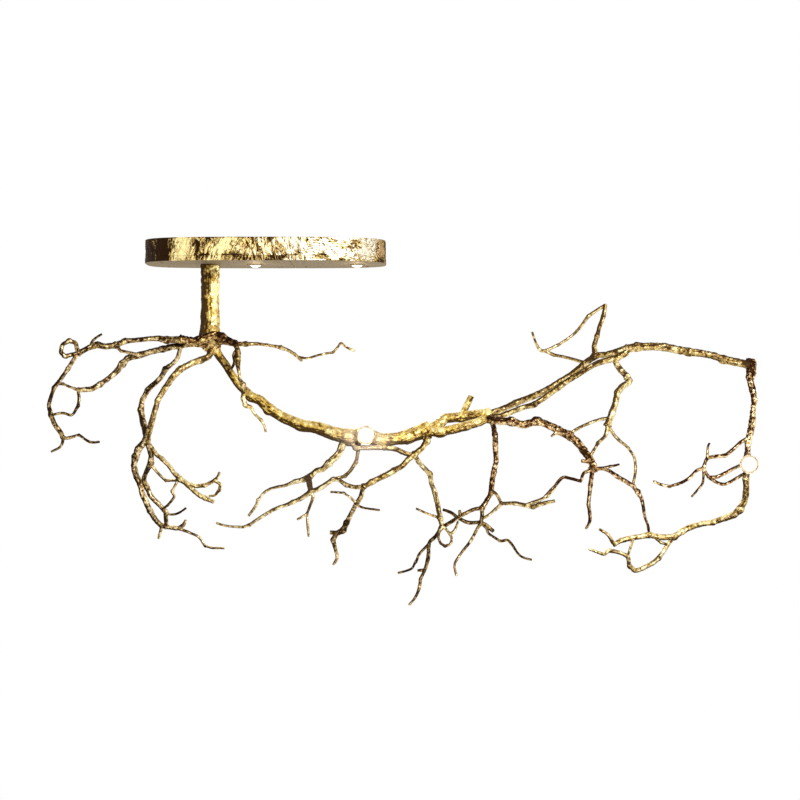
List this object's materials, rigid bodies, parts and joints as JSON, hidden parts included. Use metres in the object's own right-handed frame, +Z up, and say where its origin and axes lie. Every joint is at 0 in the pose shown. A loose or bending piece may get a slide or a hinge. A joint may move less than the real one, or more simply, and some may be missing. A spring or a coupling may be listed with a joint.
{
  "type": "branch chandelier",
  "caption": "Ceiling canopy on a short stem that carries a wide spread of knotted, tapering cast branches with small round lamps.",
  "frame": {"origin": "middle of the canopy on the ceiling plane, the top face of the ceiling plate", "axes": "+Z up into the ceiling, +X along the canopy and the branches to their long end, -Y towards the viewer"},
  "size_m": [1.4109, 0.284, 0.726],
  "materials": {
    "steel": "zinc-plated steel",
    "satin_tray": "satin champagne grey metal",
    "leafed_bark": "crumpled gold leaf over dark bark texture",
    "cast_gold": "cast bark texture, antique gold leaf with umber in the recesses",
    "pale_gold": "cast bark texture, pale lemon gold leaf",
    "cast_umber": "cast bark texture, dark umber with gold flecks",
    "cast_copper": "cast bark texture, reddish copper brown with gold flecks",
    "white_plastic": "moulded",
    "brass": "plain brass",
    "lead_sheath": "matt",
    "lamp_milk": "frosted milk diffuser, lit"
  },
  "bodies": {
    "fitting": {"ceiling_plate": "steel", "stem_flange": "steel", "flange_bolts": "steel", "stem_tube": "steel", "stem_sleeve": "pale_gold", "canopy_band": "leafed_bark", "canopy_tray_left": "satin_tray", "canopy_tray_right": "satin_tray", "canopy_pillars": "steel", "tray_screws": "satin_tray", "led_driver": "white_plastic", "driver_screws": "steel", "terminal_block": "white_plastic", "earth_screw": "brass", "canopy_leads": "lead_sheath", "stem_lead": "lead_sheath", "spot_left": "satin_tray", "spot_right": "satin_tray", "spot_lens_left": "lamp_milk", "spot_lens_right": "lamp_milk", "crown": "cast_umber", "crown_screw": "steel", "main_limb": "cast_gold", "under_strand": "cast_gold", "twin_fork": "cast_gold", "middle_limb": "cast_copper", "end_limb": "cast_copper", "end_drop": "cast_copper", "end_arch": "cast_copper", "end_loop": "cast_copper", "end_lamp_twig": "cast_copper", "top_twig": "cast_copper", "inner_arch": "cast_copper", "copper_branch": "cast_copper", "copper_right_twig": "cast_copper", "copper_left_twigs": "cast_copper", "long_drop": "cast_copper", "long_drop_left": "cast_gold", "long_drop_tail": "pale_gold", "long_drop_right": "cast_copper", "curl_drop": "cast_gold", "near_drop": "cast_gold", "near_drop_tail": "cast_umber", "near_drop_left": "cast_gold", "slant_drop": "cast_gold", "tie_twig": "cast_gold", "left_root_upper": "cast_umber", "left_root_far": "cast_umber", "left_root_lower": "cast_umber", "left_root_outer": "cast_umber", "left_root_inner": "cast_gold", "left_cluster_outer": "cast_umber", "left_cluster_middle": "cast_umber", "left_cluster_right": "pale_gold", "right_root": "cast_umber", "near_cup": "cast_umber", "end_cup": "cast_umber"},
    "near_lamp": {"near_lamp": "lamp_milk"},
    "end_lamp": {"end_lamp": "lamp_milk"}
  },
  "joints": [
    {"name": "near_lamp_pull", "type": "slide", "parent": "fitting", "child": "near_lamp", "axis": [0, -1, 0], "range_m": [0, 0.012]},
    {"name": "end_lamp_pull", "type": "slide", "parent": "fitting", "child": "end_lamp", "axis": [0, -1, 0], "range_m": [0, 0.012]}
  ]
}
